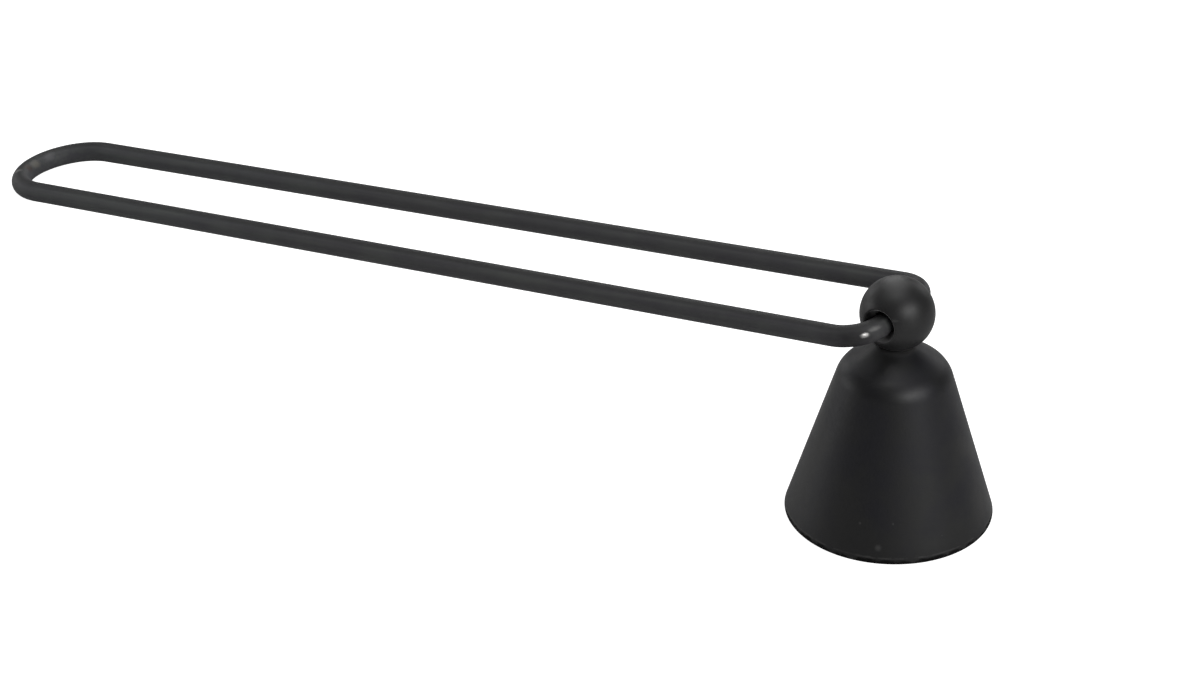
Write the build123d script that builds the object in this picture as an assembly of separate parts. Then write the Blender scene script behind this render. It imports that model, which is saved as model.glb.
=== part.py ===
from build123d import *
from math import acos, asin, atan2, cos, degrees, hypot, radians, sin, sqrt, tan
import os

# Candle snuffer in millimetres: a spun bell cup is screwed under a drilled ball, and a long wire
# loop swings in the ball. The bell stands on its rim at z = 0 with its axis on Z, and the handle
# runs towards -X until its far bend rests on the same surface.

# Whole snuffer
overall_height = 48.0       # rim of the bell to the top of the ball
handle_length = 220.0       # outside of the far bend to the outside of the wire in the ball

# Bell cup
rim_diameter = 38.0
bell_wall = 1.0
top_slope = 35.0            # degrees from level, round the flat that carries the ball
top_width = 16.6            # across the sloping top, where the shoulder starts
shoulder_radius = 6.0       # outside, between the sloping top and the straight side
rim_chamfer = 0.3           # outer edge of the rim
rim_inner_chamfer = 0.2     # inner edge of the rim

# Pivot ball
ball_diameter = 13.6
mouth_flare = 1.0           # how far the countersink is wider than the bore, all round
countersink_angle = 60.0    # degrees, side to side
mouth_chamfer = 0.2         # broken edge between the countersink and the ball
seat_band = 0.75            # width of the flat ring round the tapped hole

# Handle wire, bent from one round rod
wire_diameter = 4.0
leg_room = 2.85             # free space between the ball and each leg
narrowing = 1.8             # how much closer the legs are at the far bend
corner_radius = 6.2         # centre line of the bends beside the ball
end_gap = 1.0               # space left between the two ends inside the ball
end_chamfer = 0.4

# Fixing screw and lock washer
screw_diameter = 3.0
head_overhang = 1.3
head_height = 2.4
head_chamfer = 0.7
tip_chamfer = 0.4
washer_band = 1.4
washer_thickness = 0.8
slit_width = 0.4
slit_slant = 20.0           # degrees from the washer's axis

# Fits
bore_play = 0.4             # bore diameter less wire diameter
running_gap = 0.05          # under the wire, where it lies in the bore
thread_gap = 0.05           # round the plain shank in its tapped hole
hole_play = 0.4             # hole in the crown less screw diameter
washer_play = 0.2           # hole in the washer less screw diameter
washer_margin = 0.2         # flat left round the washer, under the crown
tip_room = 1.0              # between the screw's tip and the cross bore
overrun = 2.0               # how far cutting shapes pass the faces that they cut

# Ball, from its bore outwards
ball_radius = ball_diameter / 2
ball_centre = overall_height - ball_radius
bore_radius = (wire_diameter + bore_play) / 2
mouth_radius = bore_radius + mouth_flare
tapped_radius = screw_diameter / 2 + thread_gap
seat_radius = tapped_radius + seat_band
seat_drop = sqrt(ball_radius**2 - seat_radius**2)

# Top of the bell, whose flat carries the ball outside and the washer inside
crown_top = ball_centre - seat_drop
washer_top = crown_top - bell_wall
washer_radius = screw_diameter / 2 + washer_play / 2 + washer_band
inner_flat_radius = washer_radius + washer_margin
flat_radius = inner_flat_radius + bell_wall * tan(radians(top_slope) / 2)

# Centre of the shoulder's arc in the section, below the end of the sloping top
top_angle = radians(90 - top_slope)
top_drop = (top_width / 2 - flat_radius) * tan(radians(top_slope))
shoulder_x = top_width / 2 - shoulder_radius * cos(top_angle)
shoulder_z = crown_top - top_drop - shoulder_radius * sin(top_angle)

# Straight side: the tangent of the shoulder's circle from the outer edge of the rim
rim_radius = rim_diameter / 2
side_run = rim_radius - shoulder_x
side_rise = shoulder_z - rim_chamfer
side_lean = atan2(side_run, side_rise) - asin(shoulder_radius / hypot(side_run, side_rise))

# Screw, from its tip down to its head
tip_height = ball_centre - bore_radius - tip_room
head_top = washer_top - washer_thickness

# Handle: its pivot is the axis of the wire itself, which lies low in the bore
wire_radius = wire_diameter / 2
pivot_height = ball_centre - (bore_radius - wire_radius - running_gap)
half_width = ball_radius + leg_room + wire_radius
end_radius = half_width - narrowing / 2
reach = handle_length - wire_diameter
droop = degrees(asin((pivot_height - wire_radius) / reach))


# How the plain shapes are placed
upright = (Align.CENTER, Align.CENTER, Align.MIN)
hanging = (Align.CENTER, Align.CENTER, Align.MAX)
along_x = (Align.MIN, Align.CENTER, Align.CENTER)


# Arc of the shoulder, from the straight side up to the sloping top
def shoulder_arc(inset):
    start = degrees(side_lean)
    turned = degrees(top_angle) - start
    return CenterArc((shoulder_x, shoulder_z), shoulder_radius - inset, start, turned)


# Spun sheet of even thickness, turned about Z
def bell_cup():
    outside = shoulder_arc(0)
    inside = shoulder_arc(bell_wall)
    inner_rim = (inner_rim_radius(), 0)
    hole_radius = (screw_diameter + hole_play) / 2
    outline = Curve() + [
        Line(inner_rim, (rim_radius - rim_chamfer, 0)),
        Line((rim_radius - rim_chamfer, 0), (rim_radius, rim_chamfer)),
        Line((rim_radius, rim_chamfer), outside @ 0),
        outside,
        Line(outside @ 1, (flat_radius, crown_top)),
        Line((flat_radius, crown_top), (hole_radius, crown_top)),
        Line((hole_radius, crown_top), (hole_radius, washer_top)),
        Line((hole_radius, washer_top), (inner_flat_radius, washer_top)),
        Line((inner_flat_radius, washer_top), inside @ 1),
        inside,
        Line(inside @ 0, inner_rim),
    ]
    section = make_face(outline)
    inner_corner = section.vertices().group_by(Axis.Y)[0].sort_by(Axis.X)[0]
    section = chamfer(inner_corner, rim_inner_chamfer)
    return revolve(Plane.XZ * section, Axis.Z)


# Where the inside of the straight side meets the plane of the rim
def inner_rim_radius():
    return rim_radius + rim_chamfer * tan(side_lean) - bell_wall / cos(side_lean)


# Ball spun about its cross bore, with a tapped hole up into the bore and a flat round the hole
def pivot_ball():
    ball = revolve(ball_section(), Axis.Y)
    ball -= Cylinder(tapped_radius, ball_diameter, align=hanging)
    ball &= Pos(0, 0, ball_radius - seat_drop) * Box(ball_diameter, ball_diameter, ball_diameter)
    return Pos(0, 0, ball_centre) * ball


# Between the bore and the surface of the ball, from one countersunk mouth to the other
def ball_section():
    mouth_angle = degrees(acos(mouth_radius / ball_radius))
    surface = CenterArc((0, 0), ball_radius, -mouth_angle, 2 * mouth_angle)
    depth = mouth_flare / tan(radians(countersink_angle / 2))
    bore_end = (surface @ 1).Y - depth
    outline = Curve() + [
        surface,
        Line(surface @ 1, (bore_radius, bore_end)),
        Line((bore_radius, bore_end), (bore_radius, -bore_end)),
        Line((bore_radius, -bore_end), surface @ 0),
    ]
    section = make_face(outline)
    mouths = section.vertices().sort_by(Axis.Y)
    return chamfer([mouths[0], mouths[-1]], mouth_chamfer)


# Closed loop of wire whose ends turn in towards each other inside the ball
def handle_wire():
    lean = leg_lean()
    first_end = Line((0, end_gap / 2), (0, bend_start(lean)))
    first_bend = JernArc(first_end @ 1, (0, 1), corner_radius, 90 + lean)
    far_bend = CenterArc((end_radius - reach, 0), end_radius, 90 + lean, 180 - 2 * lean)
    last_bend = first_bend.mirror(Plane.XZ)
    centre_line = Curve() + [
        first_end,
        first_bend,
        Line(first_bend @ 1, far_bend @ 0),
        far_bend,
        Line(far_bend @ 1, last_bend @ 1),
        last_bend,
        first_end.mirror(Plane.XZ),
    ]
    wire = sweep(Plane(first_end @ 0, z_dir=(0, 1, 0)) * Circle(wire_radius), centre_line)
    ends = wire.faces().filter_by(GeomType.PLANE)
    wire = chamfer(ends.edges(), end_chamfer)
    return Pos(0, 0, pivot_height) * Rot(Y=-droop) * wire


# Angle between each leg and the handle's middle line, in degrees
def leg_lean():
    far_centre = reach - end_radius
    return degrees(acos(end_radius / hypot(half_width, far_centre)) - atan2(far_centre, half_width))


# Where the wire leaves the pivot axis for its corner bend
def bend_start(lean):
    return half_width - corner_radius * (1 + sin(radians(lean))) / cos(radians(lean))


# Pan head screw from inside the bell, with a plain shank
def fixing_screw():
    head = Cylinder(screw_diameter / 2 + head_overhang, head_height, align=hanging)
    head = chamfer(head.edges().group_by(Axis.Z)[0], head_chamfer)
    shank = Cylinder(screw_diameter / 2, tip_height - head_top, align=upright)
    shank = chamfer(shank.edges().group_by(Axis.Z)[-1], tip_chamfer)
    return Pos(0, 0, head_top) * (head + shank)


# Split ring, pressed flat between the screw's head and the crown
def lock_washer():
    ring = Circle(washer_radius) - Circle((screw_diameter + washer_play) / 2)
    washer = extrude(ring, washer_thickness)
    slit = Box(washer_radius, slit_width, washer_thickness + overrun, align=along_x)
    washer -= Pos(0, 0, washer_thickness / 2) * Rot(X=slit_slant) * slit
    return Pos(0, 0, head_top) * washer


pieces = {
    "bell_cup": bell_cup(),
    "pivot_ball": pivot_ball(),
    "handle_wire": handle_wire(),
    "fixing_screw": fixing_screw(),
    "lock_washer": lock_washer(),
}

os.makedirs("parts", exist_ok=True)
for name, piece in pieces.items():
    export_step(piece, f"parts/{name}.step")
    print(f"{name}: {len(piece.solids())} solid, {piece.volume:.1f} cubic mm")
print(f"side leans {degrees(side_lean):.2f} degrees, handle droops {droop:.2f} degrees")
print(f"pivot at z = {pivot_height:.3f}, legs {2 * half_width:.1f} mm apart beside the ball")
print(f"screw {tip_height - head_top:.2f} mm long under its head, head at z = {head_top:.2f}")
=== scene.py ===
import math

import bmesh
import bpy
from mathutils import Matrix, Vector


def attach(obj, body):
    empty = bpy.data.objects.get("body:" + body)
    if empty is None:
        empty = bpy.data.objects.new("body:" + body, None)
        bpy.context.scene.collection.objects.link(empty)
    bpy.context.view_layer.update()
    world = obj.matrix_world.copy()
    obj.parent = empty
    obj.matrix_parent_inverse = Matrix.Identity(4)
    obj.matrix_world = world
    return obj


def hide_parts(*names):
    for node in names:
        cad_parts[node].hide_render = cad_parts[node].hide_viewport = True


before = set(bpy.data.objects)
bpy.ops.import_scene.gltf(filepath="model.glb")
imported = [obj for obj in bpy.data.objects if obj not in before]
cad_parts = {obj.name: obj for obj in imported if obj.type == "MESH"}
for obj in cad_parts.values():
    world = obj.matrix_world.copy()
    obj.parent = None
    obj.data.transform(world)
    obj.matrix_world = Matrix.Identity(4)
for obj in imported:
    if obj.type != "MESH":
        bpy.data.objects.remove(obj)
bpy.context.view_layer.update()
print("frame loaded:", ", ".join(sorted(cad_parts)))

# Lengths in the pieces' values are millimetres and angles degrees, unless a note says otherwise
mm = 0.001
quarterTurn = math.pi / 2
fullTurn = 2 * math.pi
mergeGap = 0.0005 * mm
sharpAngle = 32               # where faces meet at more than this, a corner shows
scene = bpy.context.scene


# Small helpers for meshes

def edgesOf(made):
    return [part for part in made if isinstance(part, bmesh.types.BMEdge)]


def vertsOf(made):
    return [part for part in made if isinstance(part, bmesh.types.BMVert)]


def everythingIn(bm):
    return bm.verts[:] + bm.edges[:] + bm.faces[:]


def openEdgesOf(bm):
    return [edge for edge in bm.edges if edge.is_boundary]


# A profile is drawn like a pen line in the XZ plane: a start, straight runs and arcs
def startAt(bm, x, z):
    return bm.verts.new((x, 0, z))


def lineTo(bm, tip, x, z):
    made = bmesh.ops.extrude_vert_indiv(bm, verts=[tip])
    newTip = made["verts"][0]
    bmesh.ops.translate(bm, verts=[newTip], vec=Vector((x, 0, z)) - tip.co)
    return newTip


# A straight run in several steps, so that the faces stay near square
def runTo(bm, tip, x, z, steps):
    start = tip.co.copy()
    for step in range(1, steps + 1):
        place = start.lerp(Vector((x, 0, z)), step / steps)
        tip = lineTo(bm, tip, place.x, place.z)
    return tip


# Positive angles turn from +Z towards +X
def arcAbout(bm, tip, x, z, angle, steps):
    made = bmesh.ops.spin(
        bm, geom=[tip], cent=(x, 0, z), axis=(0, 1, 0), angle=angle, steps=steps
    )
    return vertsOf(made["geom_last"])[0]


# Point on a circle in the XZ plane, its angle counted from +X towards +Z
def onCircle(x, z, radius, angle):
    return x + radius * math.cos(angle), z + radius * math.sin(angle)


# Spins the whole profile about the Z axis and closes the seam
def turnAboutZ(bm, steps):
    bmesh.ops.remove_doubles(bm, verts=bm.verts, dist=mergeGap)
    bmesh.ops.spin(
        bm, geom=bm.verts[:] + bm.edges[:], cent=(0, 0, 0), axis=(0, 0, 1),
        angle=fullTurn, steps=steps, use_merge=True,
    )
    closeUp(bm)


def closeUp(bm):
    bmesh.ops.remove_doubles(bm, verts=bm.verts, dist=mergeGap)
    bmesh.ops.dissolve_degenerate(bm, edges=bm.edges, dist=mergeGap)
    bmesh.ops.recalc_face_normals(bm, faces=bm.faces)


def rotateAll(bm, angle, axis):
    bmesh.ops.rotate(bm, verts=bm.verts, cent=(0, 0, 0), matrix=Matrix.Rotation(angle, 3, axis))


def moveAll(bm, x, y, z):
    bmesh.ops.translate(bm, verts=bm.verts, vec=(x, y, z))


# Cuts off everything beyond a level plane and returns the edges of the cut
def cutLevel(bm, height, direction):
    made = bmesh.ops.bisect_plane(
        bm, geom=everythingIn(bm), plane_co=(0, 0, height),
        plane_no=(0, 0, direction), clear_outer=True,
    )
    return edgesOf(made["geom_cut"])


# Turns a bmesh into an object at the origin, smooth apart from its real corners
def makePiece(name, bm, material, node, body):
    mesh = bpy.data.meshes.new(name)
    bm.to_mesh(mesh)
    bm.free()
    mesh.shade_smooth()
    mesh.set_sharp_from_angle(angle=math.radians(sharpAngle))
    mesh.materials.append(material)
    piece = bpy.data.objects.new(name, mesh)
    scene.collection.objects.link(piece)
    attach(piece, body)
    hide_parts(node)
    print(f"{name}: {len(mesh.polygons)} faces, {countOpenEdges(mesh)} open edges")


def countOpenEdges(mesh):
    uses = {}
    for polygon in mesh.polygons:
        for key in polygon.edge_keys:
            uses[key] = uses.get(key, 0) + 1
    return sum(1 for count in uses.values() if count != 2)


# Small helpers for node trees

nodeSpacing = {"across": 190, "down": 150, "rows": 5, "end": 2300}


class nodeBench:
    def __init__(self, tree):
        self.tree = tree
        self.column = 0

    def add(self, kind, settings=None, inputs=None):
        node = self.tree.nodes.new(kind)
        row = self.column % nodeSpacing["rows"]
        node.location = (self.column * nodeSpacing["across"], -row * nodeSpacing["down"])
        self.column += 1
        for key, value in (settings or {}).items():
            setattr(node, key, value)
        for key, value in (inputs or {}).items():
            self.feed(node.inputs[key], value)
        return node

    # A socket is linked, anything else is set as the socket's own value
    def feed(self, socket, value):
        if isinstance(value, bpy.types.NodeSocket):
            self.tree.links.new(value, socket)
        else:
            socket.default_value = value

    def math(self, operation, first, second=0.0, clamp=False):
        node = self.add("ShaderNodeMath", {"operation": operation, "use_clamp": clamp})
        self.feed(node.inputs[0], first)
        self.feed(node.inputs[1], second)
        return node.outputs[0]

    def vector(self, operation, first, second=None, scale=None, out="Vector"):
        node = self.add("ShaderNodeVectorMath", {"operation": operation})
        self.feed(node.inputs[0], first)
        if second is not None:
            self.feed(node.inputs[1], second)
        if scale is not None:
            self.feed(node.inputs["Scale"], scale)
        return node.outputs[out]

    def noise(self, vector, scale, detail, roughness=0.5):
        return self.add("ShaderNodeTexNoise", None, {
            "Vector": vector, "Scale": scale, "Detail": detail, "Roughness": roughness,
        }).outputs["Fac"]

    # Maps a value from one range to another, smoothly at both ends
    def remap(self, value, fromLow, fromHigh, toLow=0.0, toHigh=1.0):
        return self.add("ShaderNodeMapRange", {"interpolation_type": "SMOOTHSTEP"}, {
            "Value": value, "From Min": fromLow, "From Max": fromHigh,
            "To Min": toLow, "To Max": toHigh,
        }).outputs["Result"]

    # Mix nodes hold sockets of every kind, so theirs are taken by number
    def mixColour(self, share, first, second):
        node = self.add("ShaderNodeMix", {"data_type": "RGBA"})
        self.feed(node.inputs[0], share)
        self.feed(node.inputs[6], first)
        self.feed(node.inputs[7], second)
        return node.outputs[2]

    def mixValue(self, share, first, second):
        node = self.add("ShaderNodeMix", {"data_type": "FLOAT"})
        self.feed(node.inputs[0], share)
        self.feed(node.inputs[2], first)
        self.feed(node.inputs[3], second)
        return node.outputs[0]

    def split(self, vector):
        return self.add("ShaderNodeSeparateXYZ", None, {"Vector": vector}).outputs

    def group(self, tree, inputs):
        return self.add("ShaderNodeGroup", {"node_tree": tree}, inputs).outputs


# Starts a node group and returns its bench, its inputs and a function that sets its outputs
def startGroup(name, inputs, outputs):
    tree = bpy.data.node_groups.new(name, "ShaderNodeTree")
    kinds = {"float": "NodeSocketFloat", "vector": "NodeSocketVector"}
    for label, (kind, value) in inputs.items():
        socket = tree.interface.new_socket(label, in_out="INPUT", socket_type=kinds[kind])
        if value is not None:
            socket.default_value = value
    for label in outputs:
        tree.interface.new_socket(label, in_out="OUTPUT", socket_type=kinds["float"])
    bench = nodeBench(tree)
    entry = bench.add("NodeGroupInput")

    def finishGroup(results):
        bench.add("NodeGroupOutput", None, results)
        return tree

    return bench, entry.outputs, finishGroup


def grey(value, tint=(1.0, 1.0, 1.0)):
    return (value * tint[0], value * tint[1], value * tint[2], 1.0)


# Effects that several finishes share; lengths in all of them are millimetres

effectValues = {
    "grainDetail": 2.0,
    "peelDetail": 1.0,
    "cloudDetail": 3.0,
    "cloudRange": (0.32, 0.68),   # this span of the noise becomes 0 to 1, as in all ranges
    "grainRange": (0.3, 0.7),
    "raggedDetail": 3.0,
    "brokenDetail": 4.0,
    "brokenRoughness": 0.6,
    "bandRange": (0.25, 0.5),
    "noiseMiddle": 0.5,
}


# Sprayed and baked powder: fine grain, orange peel and slow cloudy patches
def makePowderGrain(values):
    bench, given, finishGroup = startGroup("powderGrain", {
        "Place": ("vector", None),
        "Grain Size": ("float", 0.12),
        "Peel Size": ("float", 0.7),
        "Cloud Size": ("float", 6.0),
        "Grain Depth": ("float", 0.35),
    }, ("Height", "Grain", "Peel", "Cloud"))
    noises = {}
    for label in ("Grain", "Peel", "Cloud"):
        scale = bench.math("DIVIDE", 1.0, given[label + " Size"])
        noises[label] = bench.noise(given["Place"], scale, values[label.lower() + "Detail"])
    height = bench.mixValue(given["Grain Depth"], noises["Peel"], noises["Grain"])
    return finishGroup({
        "Height": height,
        "Grain": noises["Grain"],
        "Peel": noises["Peel"],
        "Cloud": bench.remap(noises["Cloud"], *values["cloudRange"]),
    })


# A ragged patch round one point, such as a rub or a speck
def makePatch(values):
    bench, given, finishGroup = startGroup("patch", {
        "Place": ("vector", None),
        "Centre": ("vector", None),
        "Turn": ("vector", None),
        "Reach": ("vector", (1.0, 1.0, 1.0)),
        "Softness": ("float", 0.25),
        "Raggedness": ("float", 0.3),
        "Ragged Size": ("float", 0.4),
    }, ("Mask",))
    offset = bench.vector("SUBTRACT", given["Place"], given["Centre"])
    turned = bench.add("ShaderNodeVectorRotate", {"rotation_type": "EULER_XYZ", "invert": True}, {
        "Vector": offset, "Rotation": given["Turn"],
    }).outputs["Vector"]
    shares = bench.vector("DIVIDE", turned, given["Reach"])
    distance = bench.vector("LENGTH", shares, out="Value")
    scale = bench.math("DIVIDE", 1.0, given["Ragged Size"])
    noise = bench.noise(given["Place"], scale, values["raggedDetail"])
    ragged = bench.math("SUBTRACT", noise, values["noiseMiddle"])
    distance = bench.math("ADD", distance, bench.math("MULTIPLY", ragged, given["Raggedness"]))
    low = bench.math("SUBTRACT", 1.0, given["Softness"])
    return finishGroup({"Mask": bench.remap(distance, low, 1.0, 1.0, 0.0)})


# A thin line beside an edge, broken up along its length; it carries the rim's painted shade and
# the pale line above it
def makeEdgeBand(values):
    bench, given, finishGroup = startGroup("edgeBand", {
        "Place": ("vector", None),
        "Distance": ("float", 0.0),
        "Width": ("float", 0.5),
        "Broken Size": ("float", 1.5),
        "Break Depth": ("float", 1.0),
        "Cover": ("float", 0.5),
    }, ("Mask",))
    scale = bench.math("DIVIDE", 1.0, given["Broken Size"])
    noise = bench.noise(given["Place"], scale, values["brokenDetail"], values["brokenRoughness"])
    near = bench.math("DIVIDE", given["Distance"], given["Width"])
    fade = bench.math("SUBTRACT", 1.0, bench.math("ABSOLUTE", near), clamp=True)
    broken = bench.math("SUBTRACT", noise, values["noiseMiddle"])
    broken = bench.math("MULTIPLY", broken, given["Break Depth"])
    lift = bench.math("ADD", broken, given["Cover"])
    return finishGroup({
        "Mask": bench.remap(bench.math("MULTIPLY", fade, lift), *values["bandRange"]),
    })


# Sparse specks of dust and lint, one in a few cells
def makeSpecks():
    bench, given, finishGroup = startGroup("specks", {
        "Place": ("vector", None),
        "Spacing": ("float", 2.5),
        "Size": ("float", 0.12),
        "Share": ("float", 0.2),
    }, ("Mask",))
    scale = bench.math("DIVIDE", 1.0, given["Spacing"])
    cells = bench.add("ShaderNodeTexVoronoi", {"feature": "F1"}, {
        "Vector": given["Place"], "Scale": scale,
    })
    radius = bench.math("DIVIDE", given["Size"], given["Spacing"])
    dot = bench.math("LESS_THAN", cells.outputs["Distance"], radius)
    chosen = bench.add("ShaderNodeSeparateColor", None, {"Color": cells.outputs["Color"]})
    keep = bench.math("LESS_THAN", chosen.outputs[0], given["Share"])
    return finishGroup({"Mask": bench.math("MULTIPLY", dot, keep)})


powderGrain = makePowderGrain(effectValues)
patch = makePatch(effectValues)
edgeBand = makeEdgeBand(effectValues)
specks = makeSpecks()


# Material with one Principled shader; returns its bench, the place in millimetres and the shader
def startMaterial(name, specularLevel):
    material = bpy.data.materials.new(name)
    material.use_nodes = True
    tree = material.node_tree
    tree.nodes.clear()
    bench = nodeBench(tree)
    place = bench.add("ShaderNodeTexCoord").outputs["Object"]
    place = bench.vector("SCALE", place, scale=1 / mm)
    shader = bench.add("ShaderNodeBsdfPrincipled", None, {"Specular IOR Level": specularLevel})
    output = bench.add("ShaderNodeOutputMaterial", None, {"Surface": shader.outputs["BSDF"]})
    shader.location = (nodeSpacing["end"], 0)
    output.location = (nodeSpacing["end"] + 2 * nodeSpacing["across"], 0)
    return material, bench, place, shader


def feedBump(bench, shader, height, bump):
    strength, depth = bump
    normal = bench.add("ShaderNodeBump", None, {
        "Height": height, "Strength": strength, "Distance": depth * mm,
    }).outputs["Normal"]
    bench.feed(shader.inputs["Normal"], normal)


# Roughness that swings a little either way with the finest grain
def roughenBy(bench, rough, grain, swing):
    change = bench.remap(grain["Grain"], *effectValues["grainRange"], *swing)
    return bench.math("ADD", rough, change)


# Lays one ragged spot of another colour over a coat
def addSpot(bench, coat, place, spot, edge, colour):
    centre, reach, share = spot
    mask = bench.group(patch, {"Place": place, "Centre": centre, "Reach": reach, **edge})["Mask"]
    return bench.mixColour(bench.math("MULTIPLY", mask, share), coat, colour)


print("shared effects ready")


# Bell cup

bellValues = {
    "rimRadius": 18.99,
    "lipRadius": 0.5,         # rounding of the rim outside
    "innerLipRadius": 0.2,
    "wall": 1.0,
    "shoulderRadius": 6.0,
    "topWidth": 16.6,         # across the sloping top, where the shoulder starts
    "topSlope": 35.0,         # from level
    "topBend": 1.4,           # outside, where the sloping top meets the flat
    "flatRadius": 3.2,        # of the flat, inside
    "crownTop": 34.80,
    "holeRadius": 1.7,
    "stepsRound": 192,
    "shoulderSteps": 20,
    "bendSteps": 5,
    "lipSteps": 8,
    "sideSteps": 12,
    "topSteps": 6,
}

bellFinish = {
    "darkCoat": grey(0.0090, (0.97, 0.965, 1.42)),
    "paleCoat": grey(0.0138, (1.0, 1.0, 1.02)),
    "grain": {"Grain Size": 0.11, "Peel Size": 0.8, "Cloud Size": 7.0},
    "bump": (0.35, 0.04),     # strength and depth
    "roughness": 0.45,
    "cloudRoughness": 0.05,   # more where the coat is dark
    "grainSwing": (-0.05, 0.05),
    "specularLevel": 0.5,
    "footHeight": 10.0,       # the coat is paler below this height
    "footShare": 0.5,
    # painted shade at the rim: a dark, rough, partly metal line standing in for the shadow under
    # the lip
    "rimShadeColour": grey(0.006),
    "rimRoughness": 0.9,
    "rimShadeMetal": 0.6,
    "rimShadeBand": {"Width": 1.8, "Broken Size": 3.0, "Break Depth": 2.4, "Cover": 0.75},
    # a pale line a little above the rim
    "paleLineColour": grey(0.040),
    "paleLineHeight": 1.25,
    "paleLineBand": {"Width": 0.45, "Broken Size": 3.0, "Break Depth": 1.8, "Cover": 0.45},
    "speckColour": grey(0.050),
    "speckEdge": {"Softness": 0.9, "Raggedness": 0.5, "Ragged Size": 0.3},
    "speckPlaces": (          # centre, reach, share
        ((8.26, -16.19, 3.05), (0.85, 0.85, 0.85), 1.0),
        ((4.39, -16.42, 6.97), (0.34, 0.34, 0.34), 1.0),
        ((9.67, -13.79, 7.47), (0.30, 0.30, 0.30), 1.0),
    ),
    "dustColour": grey(0.20, (1.0, 0.99, 0.97)),
    "dustShare": 0.35,
    "dust": {"Spacing": 4.0, "Size": 0.07, "Share": 0.18},
    # painted light round the foot of the ball, lifting the shade of the joint
    "seamLight": grey(0.045),
    "seamRadius": 4.4,
    "seamWidth": 1.4,
}


# Spun sheet of even thickness, drawn from the rim up the outside and down the inside
def makeBellCup(values):
    lip = values["lipRadius"] * mm
    innerLip = values["innerLipRadius"] * mm
    wall = values["wall"] * mm
    shoulder = values["shoulderRadius"] * mm
    bend = values["topBend"] * mm
    top = values["crownTop"] * mm
    hole = values["holeRadius"] * mm
    slope = math.radians(values["topSlope"])
    topAngle = quarterTurn - slope
    # centres of the bend at the flat, of the shoulder and of the lip
    bendX = values["flatRadius"] * mm - (bend - wall) * math.tan(slope / 2)
    bendZ = top - bend
    flatEdge = bendX + bend * math.tan(slope / 2)
    topEnd = values["topWidth"] / 2 * mm
    shoulderX = topEnd - shoulder * math.cos(topAngle)
    shoulderZ = top - (topEnd - flatEdge) * math.tan(slope) - shoulder * math.sin(topAngle)
    lipX = values["rimRadius"] * mm - lip
    run = lipX - shoulderX
    rise = shoulderZ - lip
    lean = math.atan2(run, rise) - math.asin((shoulder - lip) / math.hypot(run, rise))
    # inside of the straight side, and the small rounding where it meets the rim's flat
    sideFoot = lipX + (lip * (1 + math.sin(lean)) - wall) / math.cos(lean)
    innerX = sideFoot - innerLip * math.tan(lean) + innerLip / math.cos(lean)
    # where the straight runs end, outside and inside
    sideTop = onCircle(shoulderX, shoulderZ, shoulder, lean)
    slopeTop = onCircle(bendX, bendZ, bend, topAngle)
    innerSlopeFoot = onCircle(shoulderX, shoulderZ, shoulder - wall, topAngle)
    innerSideFoot = onCircle(innerX, innerLip, innerLip, math.pi + lean)
    sideSteps, topSteps = values["sideSteps"], values["topSteps"]
    bendSteps, shoulderSteps = values["bendSteps"], values["shoulderSteps"]
    bm = bmesh.new()
    tip = startAt(bm, innerX, 0)
    tip = lineTo(bm, tip, lipX, 0)
    tip = arcAbout(bm, tip, lipX, lip, -(quarterTurn + lean), values["lipSteps"])
    tip = runTo(bm, tip, *sideTop, sideSteps)
    tip = arcAbout(bm, tip, shoulderX, shoulderZ, -(topAngle - lean), shoulderSteps)
    tip = runTo(bm, tip, *slopeTop, topSteps)
    tip = arcAbout(bm, tip, bendX, bendZ, -slope, bendSteps)
    tip = lineTo(bm, tip, hole, top)
    tip = lineTo(bm, tip, hole, top - wall)
    tip = lineTo(bm, tip, bendX, top - wall)
    tip = arcAbout(bm, tip, bendX, bendZ, slope, bendSteps)
    tip = runTo(bm, tip, *innerSlopeFoot, topSteps)
    tip = arcAbout(bm, tip, shoulderX, shoulderZ, topAngle - lean, shoulderSteps)
    tip = runTo(bm, tip, *innerSideFoot, sideSteps)
    arcAbout(bm, tip, innerX, innerLip, -(quarterTurn - lean), values["lipSteps"])
    turnAboutZ(bm, values["stepsRound"])
    return bm


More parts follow.
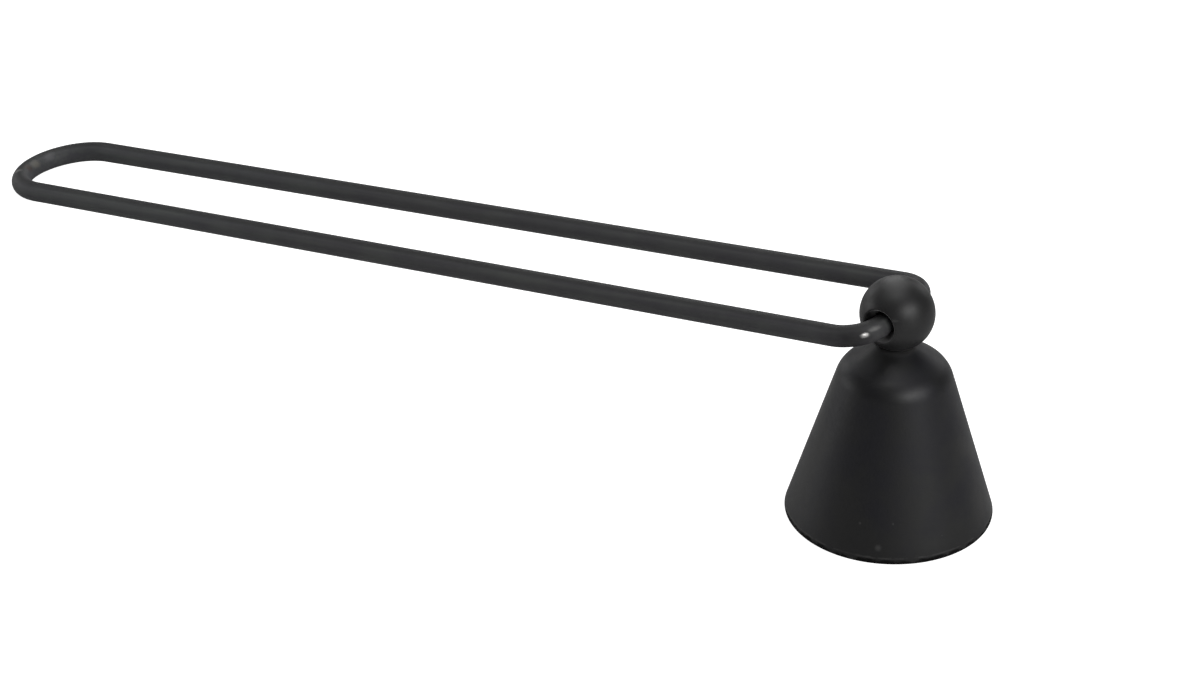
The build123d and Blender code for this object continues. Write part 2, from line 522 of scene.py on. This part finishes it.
def makeBellCoating(values):
    material, bench, place, shader = startMaterial("bellCoating", values["specularLevel"])
    grain = bench.group(powderGrain, {"Place": place, **values["grain"]})
    height = bench.split(place)["Z"]
    foot = bench.remap(height, 0.0, values["footHeight"], values["footShare"], 0.0)
    share = bench.math("ADD", grain["Cloud"], foot)
    colour = bench.mixColour(share, values["darkCoat"], values["paleCoat"])
    # painted shade in a dark line at the rim, and a pale line a little above it
    rim = bench.group(edgeBand, {"Place": place, "Distance": height, **values["rimShadeBand"]})["Mask"]
    colour = bench.mixColour(rim, colour, values["rimShadeColour"])
    above = bench.math("SUBTRACT", height, values["paleLineHeight"])
    paleLine = bench.group(edgeBand, {"Place": place, "Distance": above, **values["paleLineBand"]})["Mask"]
    colour = bench.mixColour(paleLine, colour, values["paleLineColour"])
    # painted light on the flat round the foot of the ball, outside the bell, lifting the shade of
    # the joint
    level = bench.vector("MULTIPLY", place, (1.0, 1.0, 0.0))
    fromAxis = bench.vector("LENGTH", level, out="Value")
    seamStart = values["seamRadius"] - values["seamWidth"]
    seam = bench.remap(fromAxis, seamStart, values["seamRadius"], 1.0, 0.0)
    onTop = bench.math("GREATER_THAN", height, bellValues["crownTop"] / 2)
    colour = bench.mixColour(bench.math("MULTIPLY", seam, onTop), colour, values["seamLight"])
    for spot in values["speckPlaces"]:
        colour = addSpot(bench, colour, place, spot, values["speckEdge"], values["speckColour"])
    dust = bench.group(specks, {"Place": place, **values["dust"]})["Mask"]
    dust = bench.math("MULTIPLY", dust, values["dustShare"])
    colour = bench.mixColour(dust, colour, values["dustColour"])
    bench.feed(shader.inputs["Base Color"], colour)
    darkRough = values["roughness"] + values["cloudRoughness"]
    rough = bench.mixValue(grain["Cloud"], darkRough, values["roughness"])
    rough = roughenBy(bench, rough, grain, values["grainSwing"])
    rough = bench.mixValue(rim, rough, values["rimRoughness"])
    bench.feed(shader.inputs["Roughness"], rough)
    # the painted shade line at the rim is partly metal, which dims its sheen as well
    bench.feed(shader.inputs["Metallic"], bench.math("MULTIPLY", rim, values["rimShadeMetal"]))
    feedBump(bench, shader, grain["Height"], values["bump"])
    return material


# Pivot ball

ballValues = {
    "radius": 6.79,
    "centre": 41.2,           # height
    "boreRadius": 2.2,
    "mouthRadius": 3.2,
    "mouthRounding": 0.3,
    "countersinkHalfAngle": 30.0,
    "seatRadius": 2.27,
    "tappedRadius": 1.55,
    "tappedDepth": 3.4,
    "stepsRound": 128,
    "surfaceSteps": 64,
    "roundingSteps": 6,
}

ballFinish = {
    "darkCoat": grey(0.0145, (1.0, 1.0, 1.05)),
    "paleCoat": grey(0.0195),
    "grain": {"Grain Size": 0.10, "Peel Size": 0.6, "Cloud Size": 4.5},
    "bump": (0.35, 0.035),
    "roughness": 0.47,
    "grainSwing": (-0.05, 0.05),
    "specularLevel": 0.5,
    # painted shade in the bore, and pale painted light deep in its shaded side
    "boreShade": grey(0.012),
    "boreLight": grey(0.60),
    "boreEdge": (-0.15, 0.1),     # from the mouth's radius inwards and outwards
    "boreLightAcross": (-2.6, 0.0),    # X, from none to full
    "boreLightUp": (-0.6, 1.2),        # height over the ball's middle
    "boreLightShares": (0.25, 1.0),    # at the two ends of that height
    # painted light round the seat, where the ball stands on the bell
    "seamLight": grey(0.11),
    "seamTop": 36.4,
    "seamWidth": 1.4,
    "speckColour": grey(0.06),
    "speckEdge": {"Softness": 0.8, "Raggedness": 0.5, "Ragged Size": 0.3},
    "speckPlaces": (              # centre, reach, share
        ((3.09, -5.68, 43.32), (0.9, 0.9, 0.35), 0.7),
        ((6.28, 2.47, 42.06), (0.6, 0.6, 0.8), 0.7),
    ),
}


# Drawn upright about Z, then laid over so that its bore runs along Y
def makePivotBall(values):
    radius = values["radius"] * mm
    bore = values["boreRadius"] * mm
    mouth = values["mouthRadius"] * mm
    rounding = values["mouthRounding"] * mm
    slope = math.radians(values["countersinkHalfAngle"])
    mouthTop = math.sqrt(radius**2 - mouth**2)
    flareFoot = mouthTop - (mouth - bore) / math.tan(slope)
    # centre of the rounding, inside the ball and outside the countersink
    along = Vector((math.sin(slope), math.cos(slope)))
    away = Vector((math.cos(slope), -math.sin(slope)))
    base = Vector((mouth, mouthTop)) + away * rounding
    middle = base.dot(along)
    shift = -middle + math.sqrt(middle**2 - base.length_squared + (radius - rounding) ** 2)
    corner = base + along * shift
    flareEnd = corner - away * rounding
    surfaceAngle = math.atan2(corner.x, corner.y)
    turnDown = quarterTurn - slope + surfaceAngle
    bm = bmesh.new()
    tip = startAt(bm, bore, -flareFoot)
    tip = lineTo(bm, tip, bore, flareFoot)
    tip = lineTo(bm, tip, flareEnd.x, flareEnd.y)
    tip = arcAbout(bm, tip, corner.x, corner.y, turnDown, values["roundingSteps"])
    tip = arcAbout(bm, tip, 0, 0, math.pi - 2 * surfaceAngle, values["surfaceSteps"])
    tip = arcAbout(bm, tip, corner.x, -corner.y, turnDown, values["roundingSteps"])
    lineTo(bm, tip, bore, -flareFoot)
    turnAboutZ(bm, values["stepsRound"])
    rotateAll(bm, quarterTurn, "X")
    drillSeat(bm, values)
    moveAll(bm, 0, 0, values["centre"] * mm)
    bmesh.ops.recalc_face_normals(bm, faces=bm.faces)
    return bm


# Flat underneath with a blind hole for the screw
def drillSeat(bm, values):
    drop = math.sqrt(values["radius"] ** 2 - values["seatRadius"] ** 2) * mm
    cut = cutLevel(bm, -drop, -1)
    seat = bmesh.ops.edgeloop_fill(bm, edges=cut)["faces"]
    band = (values["seatRadius"] - values["tappedRadius"]) * mm
    bmesh.ops.inset_individual(bm, faces=seat, thickness=band)
    made = bmesh.ops.extrude_face_region(bm, geom=seat)["geom"]
    bmesh.ops.translate(bm, verts=vertsOf(made), vec=(0, 0, values["tappedDepth"] * mm))
    bmesh.ops.delete(bm, geom=seat, context="FACES")


def makeBallCoating(values):
    material, bench, place, shader = startMaterial("ballCoating", values["specularLevel"])
    grain = bench.group(powderGrain, {"Place": place, **values["grain"]})
    colour = bench.mixColour(grain["Cloud"], values["darkCoat"], values["paleCoat"])
    # the bore: everything near its own axis, with painted shade on one side and painted light on
    # the other
    parts = bench.split(place)
    up = bench.math("SUBTRACT", parts["Z"], ballValues["centre"])
    squares = bench.math("POWER", parts["X"], 2.0), bench.math("POWER", up, 2.0)
    fromAxis = bench.math("SQRT", bench.math("ADD", *squares))
    inner, outer = (ballValues["mouthRadius"] + edge for edge in values["boreEdge"])
    inBore = bench.remap(fromAxis, inner, outer, 1.0, 0.0)
    boreLit = bench.math(
        "MULTIPLY", bench.remap(parts["X"], *values["boreLightAcross"]),
        bench.remap(up, *values["boreLightUp"], *values["boreLightShares"]),
    )
    boreColour = bench.mixColour(boreLit, values["boreShade"], values["boreLight"])
    colour = bench.mixColour(inBore, colour, boreColour)
    # painted light where the ball stands on the bell, lifting the shade of the joint
    seamStart = values["seamTop"] - values["seamWidth"]
    seam = bench.remap(parts["Z"], seamStart, values["seamTop"], 1.0, 0.0)
    colour = bench.mixColour(seam, colour, values["seamLight"])
    for spot in values["speckPlaces"]:
        colour = addSpot(bench, colour, place, spot, values["speckEdge"], values["speckColour"])
    bench.feed(shader.inputs["Base Color"], colour)
    rough = roughenBy(bench, values["roughness"], grain, values["grainSwing"])
    bench.feed(shader.inputs["Roughness"], rough)
    feedBump(bench, shader, grain["Height"], values["bump"])
    return material


# Handle wire

wireValues = {
    "radius": 2.0,
    "pivotHeight": 41.05,
    "halfWidth": 11.65,       # from the middle line to each leg, beside the ball
    "farRadius": 10.75,
    "reach": 215.96,          # from the pivot to the wire's axis at the far end
    "cornerRadius": 6.2,
    "endGap": 1.0,
    "endRounding": 0.4,
    "stepsRound": 48,
    "endSteps": 6,
    "cornerSteps": 32,
    "farSteps": 80,
    "legSteps": 60,
    "roundingSteps": 4,
}

wireFinish = {
    "darkCoat": grey(0.044, (1.01, 0.98, 1.08)),
    "paleCoat": grey(0.060, (0.98, 1.02, 0.99)),
    "grain": {"Grain Size": 0.10, "Peel Size": 0.6, "Cloud Size": 8.0},
    "cloudShare": 0.5,
    "streakScale": (0.05, 1.1, 1.1),  # of the noise, along and across the legs
    "streakDetail": 3.0,
    "streakRange": (0.4, 0.7),
    "streakShare": 0.5,
    "bump": (0.35, 0.035),
    "roughness": 0.55,
    "grainSwing": (-0.05, 0.05),
    "specularLevel": 0.25,
    "topShadeShare": 0.36,         # painted shade: the coat's colour times this along the top of the wire
    "topLine": 1.4,           # height over the wire's axis at which the dark top starts
    "sideLightShare": 1.38,        # painted light: the coat's colour times this below it
    "farLightTint": (1.08, 1.11, 1.11),  # and times this at the far end, as painted light
    "farStart": -125.0,       # X, from none to full
    "farFull": -165.0,
    # painted shade: a darker coat on the wire beside the ball and inside its hole
    "nearShadeCoat": grey(0.012, (1.04, 0.99, 1.0)),
    "nearShadeEdge": {"Softness": 1.0, "Raggedness": 0.3, "Ragged Size": 2.0},
    "nearShadePlaces": (          # centre, reach, share
        ((-2.5, -11.3, 0.0), (7.5, 4.5, 4.5), 0.80),
        ((0.0, -5.0, 0.0), (3.5, 5.2, 3.5), 0.85),
    ),
    "steelColour": grey(0.62, (1.0, 0.985, 0.96)),
    "steelRoughness": 0.33,
    "rubEdge": {"Softness": 0.85, "Raggedness": 0.5, "Ragged Size": 0.5},
    "rubPlaces": (            # centre, turn about Z, reach, share
        ((0.1, -10.5, 0.48), 55.0, (1.05, 0.9, 0.60), 1.0),
        ((0.9, -8.5, 1.05), 66.0, (1.9, 0.9, 0.55), 0.19),
    ),
    # painted reflections on the inside of the far bend, in pale, brown and bluish tints
    "farBendReflectionEdge": {"Softness": 0.8, "Raggedness": 0.7, "Ragged Size": 0.6},
    "farBendReflections": (            # centre, reach, share, and then the colour
        (((-214.3, -1.5, 1.2), (1.4, 1.9, 1.2), 0.8), grey(0.160, (1.0, 0.95, 0.84))),
        (((-213.8, -4.0, 1.4), (1.5, 1.5, 1.4), 0.8), grey(0.046, (1.25, 0.86, 0.74))),
        (((-214.1, 2.4, 1.2), (1.3, 2.0, 1.2), 0.8), grey(0.135, (1.0, 1.0, 1.05))),
        (((-214.0, -6.8, 1.8), (1.2, 1.2, 1.2), 0.8), grey(0.160, (1.0, 0.99, 0.97))),
    ),
}


def wireDroop(values):
    return math.asin((values["pivotHeight"] - values["radius"]) / values["reach"])


# One rod, followed from one end in the ball round the loop to the other end
def makeHandleWire(values):
    half = values["halfWidth"] * mm
    far = values["farRadius"] * mm
    corner = values["cornerRadius"] * mm
    farCentre = values["reach"] * mm - far
    lean = math.acos(far / math.hypot(half, farCentre)) - math.atan2(farCentre, half)
    bendStart = half - corner * (1 + math.sin(lean)) / math.cos(lean)
    firstEnd = values["endGap"] / 2 * mm
    outwards = Vector((-math.sin(lean), math.cos(lean), 0))
    legStart = Vector((-corner, bendStart, 0)) + corner * outwards
    legEnd = Vector((-farCentre, 0, 0)) + far * outwards
    leg = legEnd - legStart
    cornerTurn = quarterTurn + lean
    farTurn = math.pi - 2 * lean
    endRun = (0, bendStart - firstEnd, 0)
    bm = bmesh.new()
    bmesh.ops.create_circle(
        bm, cap_ends=False, radius=values["radius"] * mm, segments=values["stepsRound"]
    )
    rotateAll(bm, quarterTurn, "X")
    moveAll(bm, 0, firstEnd, 0)
    ring = runAlong(bm, bm.edges[:], endRun, values["endSteps"])
    ring = bendRing(bm, ring, (-corner, bendStart, 0), cornerTurn, values["cornerSteps"])
    ring = runAlong(bm, ring, leg, values["legSteps"])
    ring = bendRing(bm, ring, (-farCentre, 0, 0), farTurn, values["farSteps"])
    ring = runAlong(bm, ring, (-leg.x, leg.y, 0), values["legSteps"])
    ring = bendRing(bm, ring, (-corner, -bendStart, 0), cornerTurn, values["cornerSteps"])
    runAlong(bm, ring, endRun, values["endSteps"])
    bmesh.ops.remove_doubles(bm, verts=bm.verts, dist=mergeGap)
    caps = bmesh.ops.holes_fill(bm, edges=openEdgesOf(bm))["faces"]
    bmesh.ops.bevel(
        bm, geom=[edge for cap in caps for edge in cap.edges],
        offset=values["endRounding"] * mm, segments=values["roundingSteps"],
        profile=0.5, affect="EDGES", material=-1,
    )
    closeUp(bm)
    rotateAll(bm, -wireDroop(values), "Y")
    moveAll(bm, 0, 0, values["pivotHeight"] * mm)
    return bm


def runAlong(bm, ring, move, steps):
    for _ in range(steps):
        made = bmesh.ops.extrude_edge_only(bm, edges=ring)["geom"]
        bmesh.ops.translate(bm, verts=vertsOf(made), vec=Vector(move) / steps)
        ring = [edge for edge in edgesOf(made) if edge.is_boundary]
    return ring


def bendRing(bm, ring, centre, angle, steps):
    made = bmesh.ops.spin(
        bm, geom=ring, cent=centre, axis=(0, 0, 1), angle=angle, steps=steps
    )
    return edgesOf(made["geom_last"])


def makeWireCoating(values):
    material, bench, place, shader = startMaterial("wireCoating", values["specularLevel"])
    # the handle's own axes: pivot at the origin, legs along X
    place = bench.vector("SUBTRACT", place, (0, 0, wireValues["pivotHeight"]))
    place = bench.add("ShaderNodeVectorRotate", {"rotation_type": "Y_AXIS"}, {
        "Vector": place, "Angle": wireDroop(wireValues),
    }).outputs["Vector"]
    grain = bench.group(powderGrain, {"Place": place, **values["grain"]})
    # long faint streaks from handling
    streaks = bench.vector("MULTIPLY", place, values["streakScale"])
    streaks = bench.noise(streaks, 1.0, values["streakDetail"])
    streaks = bench.remap(streaks, *values["streakRange"])
    clouds = bench.math("MULTIPLY", grain["Cloud"], values["cloudShare"])
    streaks = bench.math("MULTIPLY", streaks, values["streakShare"])
    share = bench.math("ADD", clouds, streaks)
    colour = bench.mixColour(share, values["darkCoat"], values["paleCoat"])
    parts = bench.split(place)
    # painted shade along the top of the wire, and painted light on its sides and underside
    shadeAndLight = bench.remap(
        parts["Z"], values["topLine"], wireValues["radius"],
        values["sideLightShare"], values["topShadeShare"],
    )
    colour = bench.vector("SCALE", colour, scale=shadeAndLight)
    # painted light, growing towards the far end of the handle
    farLit = bench.remap(parts["X"], values["farFull"], values["farStart"], 1.0, 0.0)
    colour = bench.mixColour(farLit, colour, bench.vector("MULTIPLY", colour, values["farLightTint"]))
    # painted shade on the wire near the ball
    for spot in values["nearShadePlaces"]:
        colour = addSpot(bench, colour, place, spot, values["nearShadeEdge"], values["nearShadeCoat"])
    # painted reflections on the inside of the far bend
    for spot, tint in values["farBendReflections"]:
        colour = addSpot(bench, colour, place, spot, values["farBendReflectionEdge"], tint)
    bare = 0.0
    for centre, turn, reach, share in values["rubPlaces"]:
        mask = bench.group(patch, {
            "Place": place, "Centre": centre, "Turn": (0, 0, math.radians(turn)),
            "Reach": reach, **values["rubEdge"],
        })["Mask"]
        bare = bench.math("MAXIMUM", bare, bench.math("MULTIPLY", mask, share))
    colour = bench.mixColour(bare, colour, values["steelColour"])
    bench.feed(shader.inputs["Base Color"], colour)
    bench.feed(shader.inputs["Metallic"], bare)
    rough = roughenBy(bench, values["roughness"], grain, values["grainSwing"])
    bench.feed(shader.inputs["Roughness"], bench.mixValue(bare, rough, values["steelRoughness"]))
    feedBump(bench, shader, grain["Height"], values["bump"])
    return material


# Fixing screw and lock washer

screwValues = {
    "headRadius": 2.8,
    "headTop": 33.0,
    "headHeight": 2.4,
    "headRounding": 1.1,
    "shankRadius": 1.5,
    "threadDepth": 0.3,
    "pitch": 0.5,
    "crestShares": (0.15, 0.5, 0.65),  # of the pitch: end of the root, start and end of the crest
    "spareTurns": 2,          # of the thread beyond each end, cut off afterwards
    "tipHeight": 38.0,
    "tipChamfer": 0.4,
    "recessRadius": 1.55,
    "recessWidth": 0.8,
    "recessDepth": 1.3,
    "recessTaper": 0.55,
    "stepsRound": 64,
    "threadSteps": 36,
    "roundingSteps": 10,
}

washerValues = {
    "radius": 3.0,
    "holeRadius": 1.6,
    "bottom": 33.0,
    "thickness": 0.8,
    "slitWidth": 0.4,
    "slitSlant": 20.0,
    "edgeRounding": 0.12,
    "steps": 96,
    "roundingSteps": 3,
}

steelFinish = {
    "colour": grey(0.46, (1.0, 0.99, 0.96)),
    "dullColour": grey(0.30, (1.0, 0.97, 0.92)),
    "grain": {"Grain Size": 0.08, "Peel Size": 0.5, "Cloud Size": 1.8, "Grain Depth": 0.7},
    "bump": (0.4, 0.02),
    "roughness": 0.34,
    "grainSwing": (-0.08, 0.14),
    "specularLevel": 0.5,
    "sootColour": grey(0.02, (1.0, 0.95, 0.9)),
    "sootScale": 0.7,         # of the noise, per millimetre
    "sootDetail": 4.0,
    "sootRange": (0.52, 0.72),
    "sootShare": 0.6,
    "sootDulling": 0.5,       # less metal where the soot lies
}


def makeFixingScrew(values):
    bm = bmesh.new()
    makeThread(bm, values)
    radius = values["headRadius"] * mm
    top = values["headTop"] * mm
    rounding = values["headRounding"] * mm
    foot = top - values["headHeight"] * mm
    head = bmesh.new()
    tip = startAt(head, 0, foot)
    tip = lineTo(head, tip, values["recessRadius"] * mm, foot)
    tip = lineTo(head, tip, radius - rounding, foot)
    tip = arcAbout(
        head, tip, radius - rounding, foot + rounding, -quarterTurn, values["roundingSteps"]
    )
    lineTo(head, tip, radius, top)
    turnAboutZ(head, values["stepsRound"])
    cutRecess(head, values, foot)
    joinInto(bm, head)
    # the ring between the shank and the head's edge
    bmesh.ops.triangle_fill(bm, use_beauty=True, edges=openEdgesOf(bm))
    closeUp(bm)
    return bm


# Copies one bmesh into another through a temporary mesh
def joinInto(bm, other):
    temporary = bpy.data.meshes.new("temporary")
    other.to_mesh(temporary)
    other.free()
    bm.from_mesh(temporary)
    bpy.data.meshes.remove(temporary)


# Helical ridge spun up the shank, cut flat at both ends and capped at the tip
def makeThread(bm, values):
    crest = values["shankRadius"] * mm
    root = crest - values["threadDepth"] * mm
    pitch = values["pitch"] * mm
    bottom = values["headTop"] * mm
    top = values["tipHeight"] * mm
    chamfer = values["tipChamfer"] * mm
    start = bottom - values["spareTurns"] * pitch
    rootEnd, crestStart, crestEnd = (start + share * pitch for share in values["crestShares"])
    tip = startAt(bm, root, start)
    tip = lineTo(bm, tip, root, rootEnd)
    tip = lineTo(bm, tip, crest, crestStart)
    tip = lineTo(bm, tip, crest, crestEnd)
    lineTo(bm, tip, root, start + pitch)
    turns = round((top - bottom) / pitch) + 2 * values["spareTurns"]
    bmesh.ops.spin(
        bm, geom=bm.verts[:] + bm.edges[:], cent=(0, 0, 0), axis=(0, 0, 1),
        dvec=(0, 0, pitch / values["threadSteps"]), angle=fullTurn * turns,
        steps=values["threadSteps"] * turns,
    )
    bmesh.ops.remove_doubles(bm, verts=bm.verts, dist=mergeGap)
    cutLevel(bm, bottom, -1)
    bmesh.ops.edgeloop_fill(bm, edges=cutLevel(bm, top, 1))
    # the tip's cone takes off the last crests
    for vert in bm.verts:
        reach = math.hypot(vert.co.x, vert.co.y)
        allowed = crest - chamfer + (top - vert.co.z)
        if reach > allowed:
            vert.co.x *= allowed / reach
            vert.co.y *= allowed / reach


# Faces of the flat disc in the middle of the head, where the recess goes
def discFaces(bm, values, foot):
    limit = values["recessRadius"] * mm + mergeGap
    return [
        face for face in bm.faces
        if all(abs(vert.co.z - foot) < mergeGap for vert in face.verts)
        and all(math.hypot(vert.co.x, vert.co.y) < limit for vert in face.verts)
    ]


# Tapered cross recess, sunk into the middle of the head
def cutRecess(bm, values, foot):
    half = values["recessWidth"] / 2 * mm
    bmesh.ops.dissolve_faces(bm, faces=discFaces(bm, values, foot), use_verts=True)
    for axis in (Vector((1, 0, 0)), Vector((0, 1, 0))):
        for side in (-half, half):
            parts = {}            # keeps its order, so that each run cuts alike
            for face in discFaces(bm, values, foot):
                parts.update(dict.fromkeys([face] + face.edges[:] + face.verts[:]))
            bmesh.ops.bisect_plane(
                bm, geom=list(parts), plane_co=axis * side, plane_no=axis, dist=mergeGap
            )
    cross = []
    for face in discFaces(bm, values, foot):
        middle = face.calc_center_median()
        if abs(middle.x) < half or abs(middle.y) < half:
            cross.append(face)
    sunk = vertsOf(bmesh.ops.extrude_face_region(bm, geom=cross)["geom"])
    taper = values["recessTaper"]
    bmesh.ops.scale(bm, verts=sunk, vec=(taper, taper, 1))
    bmesh.ops.translate(bm, verts=sunk, vec=(0, 0, values["recessDepth"] * mm))
    bmesh.ops.delete(bm, geom=cross, context="FACES")


# Split ring of near-square section, spun almost all the way round
def makeLockWasher(values):
    radius = values["radius"] * mm
    hole = values["holeRadius"] * mm
    thickness = values["thickness"] * mm
    middle = (radius + hole) / 2
    gap = values["slitWidth"] * mm / middle
    bm = bmesh.new()
    bmesh.ops.create_grid(bm, x_segments=1, y_segments=1, size=0.5)  # a unit square
    bmesh.ops.scale(bm, verts=bm.verts, vec=(radius - hole, thickness, 1))
    bmesh.ops.bevel(
        bm, geom=bm.verts[:] + bm.edges[:], offset=values["edgeRounding"] * mm,
        segments=values["roundingSteps"], profile=0.5, affect="VERTICES", material=-1,
    )
    rotateAll(bm, quarterTurn, "X")
    moveAll(bm, middle, 0, 0)
    rotateAll(bm, gap / 2, "Z")
    bmesh.ops.spin(
        bm, geom=everythingIn(bm), cent=(0, 0, 0), axis=(0, 0, 1),
        angle=fullTurn - gap, steps=values["steps"],
    )
    # the slit slants: each height is turned a little further
    slant = math.tan(math.radians(values["slitSlant"]))
    for vert in bm.verts:
        vert.co = Matrix.Rotation(vert.co.z * slant / middle, 3, "Z") @ vert.co
    moveAll(bm, 0, 0, values["bottom"] * mm + thickness / 2)
    closeUp(bm)
    return bm


def makeFastenerSteel(values):
    material, bench, place, shader = startMaterial("fastenerSteel", values["specularLevel"])
    grain = bench.group(powderGrain, {"Place": place, **values["grain"]})
    colour = bench.mixColour(grain["Cloud"], values["dullColour"], values["colour"])
    soot = bench.noise(place, values["sootScale"], values["sootDetail"])
    soot = bench.remap(soot, *values["sootRange"])
    sooty = bench.math("MULTIPLY", soot, values["sootShare"])
    colour = bench.mixColour(sooty, colour, values["sootColour"])
    bench.feed(shader.inputs["Base Color"], colour)
    dulled = bench.math("MULTIPLY", soot, values["sootDulling"])
    bench.feed(shader.inputs["Metallic"], bench.math("SUBTRACT", 1.0, dulled))
    rough = roughenBy(bench, values["roughness"], grain, values["grainSwing"])
    bench.feed(shader.inputs["Roughness"], rough)
    feedBump(bench, shader, grain["Height"], values["bump"])
    return material


bellCoating = makeBellCoating(bellFinish)
ballCoating = makeBallCoating(ballFinish)
wireCoating = makeWireCoating(wireFinish)
fastenerSteel = makeFastenerSteel(steelFinish)
print("finishes ready")

bellCup = makeBellCup(bellValues)
makePiece("bellCup", bellCup, bellCoating, "bell_cup", "head")
pivotBall = makePivotBall(ballValues)
makePiece("pivotBall", pivotBall, ballCoating, "pivot_ball", "head")
handleWire = makeHandleWire(wireValues)
makePiece("handleWire", handleWire, wireCoating, "handle_wire", "handle")
fixingScrew = makeFixingScrew(screwValues)
makePiece("fixingScrew", fixingScrew, fastenerSteel, "fixing_screw", "head")
lockWasher = makeLockWasher(washerValues)
makePiece("lockWasher", lockWasher, fastenerSteel, "lock_washer", "head")
print("pieces ready")


# Floor, light and camera; the floor's and the lights' sizes and distances are metres

floorValues = {
    "size": 8.0,
    "colour": grey(0.60),
    "roughness": 0.9,
    "specularLevel": 0.1,
    "glow": grey(1.0),        # seen by the camera alone, so that the paper stays evenly pale
    "toothScale": 0.9,        # of the noise, per millimetre
    "toothDetail": 3.0,
    "bump": (0.1, 0.05),      # strength, and depth in millimetres
}

cameraValues = {
    "azimuth": 36.514,        # 0 looks along +Y
    "elevation": 30.776,
    "roll": 0.241,
    "distance": 734.016,      # from the middle of the ball, millimetres
    "focalPixels": 4132.65,
    "frameWidth": 1200,
    "frameHeight": 686,
    "ballPixelX": 897.436,    # where the middle of the ball falls in the frame
    "ballPixelY": 313.025,
    "clipStart": 0.01,        # metres
    "clipEnd": 50,
}

# Directions are seen from the snuffer: degrees to the camera's right and above the horizon
lightValues = {
    "distance": 1.1,
    "target": (-0.05, 0.0, 0.02),
    "lights": {
        "keySoftbox": {"right": 28, "up": 31, "width": 0.23, "height": 0.23, "power": 2.45},
        "keyFill": {"right": 50, "up": 31, "width": 0.30, "height": 0.30, "power": 2.45},
        "rightLowCard": {"right": 45, "up": 8, "width": 0.30, "height": 0.25, "power": 0.42},
        "leftCard": {"right": -105, "up": 8, "width": 0.60, "height": 0.25, "power": 1.6},
        "leftHighCard": {"right": -90, "up": 62, "width": 0.60, "height": 0.50, "power": 0.5},
        "backLeftCard": {"right": -140, "up": 15, "width": 0.40, "height": 0.35, "power": 1.0},
        "backRightCard": {"right": 140, "up": 15, "width": 0.35, "height": 0.35, "power": 0.7},
        "backCard": {"right": 180, "up": 22, "width": 0.50, "height": 0.35, "power": 1.5},
        "backSoftbox": {"right": 180, "up": 54, "width": 0.90, "height": 0.60, "power": 3.5},
        "topSoftbox": {"right": 0, "up": 88, "width": 0.60, "height": 0.60, "power": 2.6},
    },
}

worldValues = {"backdrop": grey(0.95), "room": grey(0.004)}


def makeFloor(values):
    bm = bmesh.new()
    bmesh.ops.create_grid(bm, x_segments=2, y_segments=2, size=values["size"] / 2)
    mesh = bpy.data.meshes.new("floor")
    bm.to_mesh(mesh)
    bm.free()
    material, bench, place, shader = startMaterial("palePaper", values["specularLevel"])
    seen = bench.add("ShaderNodeLightPath").outputs["Is Camera Ray"]
    glow = bench.mixColour(seen, grey(0.0), values["glow"])
    bench.feed(shader.inputs["Base Color"], values["colour"])
    bench.feed(shader.inputs["Roughness"], values["roughness"])
    bench.feed(shader.inputs["Emission Color"], glow)
    bench.feed(shader.inputs["Emission Strength"], 1.0)
    tooth = bench.noise(place, values["toothScale"], values["toothDetail"])
    feedBump(bench, shader, tooth, values["bump"])
    mesh.materials.append(material)
    floor = bpy.data.objects.new("floor", mesh)
    scene.collection.objects.link(floor)


# Unit vectors to the camera's right, up and back, before any roll
def cameraAxes(values):
    turn = math.radians(values["azimuth"])
    rise = math.radians(values["elevation"])
    right = Vector((math.cos(turn), math.sin(turn), 0))
    level = math.cos(rise)
    back = Vector((math.sin(turn) * level, -math.cos(turn) * level, math.sin(rise)))
    return right, back.cross(right), back


def makeCamera(values):
    right, up, back = cameraAxes(values)
    roll = math.radians(values["roll"])
    rolledRight = math.cos(roll) * right + math.sin(roll) * up
    rolledUp = -math.sin(roll) * right + math.cos(roll) * up
    perPixel = values["distance"] / values["focalPixels"] * mm
    across = (values["ballPixelX"] - values["frameWidth"] / 2) * perPixel
    down = (values["ballPixelY"] - values["frameHeight"] / 2) * perPixel
    ball = Vector((0, 0, ballValues["centre"] * mm))
    place = ball - across * rolledRight + down * rolledUp + values["distance"] * mm * back
    data = bpy.data.cameras.new("camera")
    data.sensor_fit = "HORIZONTAL"
    data.lens = values["focalPixels"] / values["frameWidth"] * data.sensor_width
    data.clip_start = values["clipStart"]
    data.clip_end = values["clipEnd"]
    camera = bpy.data.objects.new("camera", data)
    camera.matrix_world = Matrix((rolledRight, rolledUp, back)).transposed().to_4x4()
    camera.location = place
    scene.collection.objects.link(camera)
    bpy.context.scene.camera = camera


def makeLights(values, view):
    right, _, back = cameraAxes(view)
    towards = Vector((back.x, back.y, 0)).normalized()
    for name, light in values["lights"].items():
        turn = math.radians(light["right"])
        rise = math.radians(light["up"])
        level = math.cos(turn) * towards + math.sin(turn) * right
        way = math.cos(rise) * level + math.sin(rise) * Vector((0, 0, 1))
        data = bpy.data.lights.new(name, "AREA")
        data.shape = "RECTANGLE"
        data.size = light["width"]
        data.size_y = light["height"]
        data.energy = light["power"]
        lamp = bpy.data.objects.new(name, data)
        lamp.location = Vector(values["target"]) + values["distance"] * way
        lamp.rotation_mode = "QUATERNION"
        lamp.rotation_quaternion = way.to_track_quat("Z", "Y")
        lamp.visible_camera = False
        scene.collection.objects.link(lamp)


# Pale to look at, dim in what it throws on the snuffer
def makeWorld(values):
    world = bpy.data.worlds.new("studio")
    world.use_nodes = True
    world.node_tree.nodes.clear()
    bench = nodeBench(world.node_tree)
    seen = bench.add("ShaderNodeLightPath").outputs["Is Camera Ray"]
    colour = bench.mixColour(seen, values["room"], values["backdrop"])
    shader = bench.add("ShaderNodeBackground", None, {"Color": colour})
    bench.add("ShaderNodeOutputWorld", None, {"Surface": shader.outputs["Background"]})
    scene.world = world


makeFloor(floorValues)
makeCamera(cameraValues)
makeLights(lightValues, cameraValues)
makeWorld(worldValues)
scene.view_settings.view_transform = "Standard"
print("stage ready")
